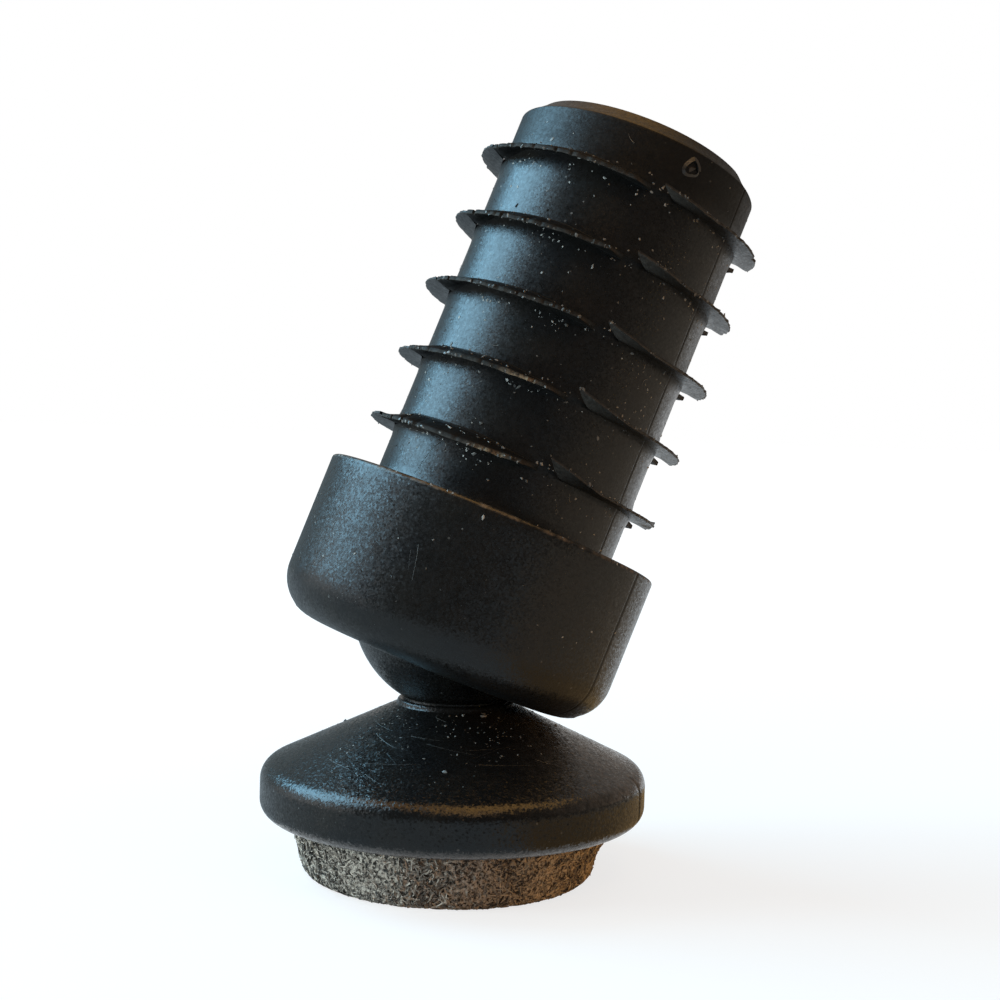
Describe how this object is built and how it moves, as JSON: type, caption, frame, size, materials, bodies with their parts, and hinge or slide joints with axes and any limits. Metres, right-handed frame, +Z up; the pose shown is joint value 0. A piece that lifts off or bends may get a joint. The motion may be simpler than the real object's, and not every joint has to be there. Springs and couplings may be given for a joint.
{
  "type": "swivel tube insert glide",
  "caption": "Finned plastic plug for round tube on a ball-footed tilting base with a felt pad; levels and slides a chair or table leg.",
  "frame": {"origin": "middle of the felt's underside, on the floor", "axes": "+Z up along the base's axis; the insert leans towards +X and +Y, 18 degrees from +X"},
  "size_m": [0.035, 0.0283, 0.0557],
  "materials": {
    "insert_plastic": "satin black, spark-eroded collar, dusty",
    "base_plastic": "smooth black, worn and dusty",
    "felt": "grey-brown needled felt"
  },
  "bodies": {
    "base": {"glide_base": "base_plastic", "felt_pad": "felt"},
    "insert": {"tube_insert": "insert_plastic"}
  },
  "joints": [
    {"name": "ball_tilt", "type": "hinge", "parent": "base", "child": "insert", "pos_m": [0, 0, 0.01929], "axis": [0.309, -0.9511, 0], "range_deg": [0, 42.9]}
  ]
}
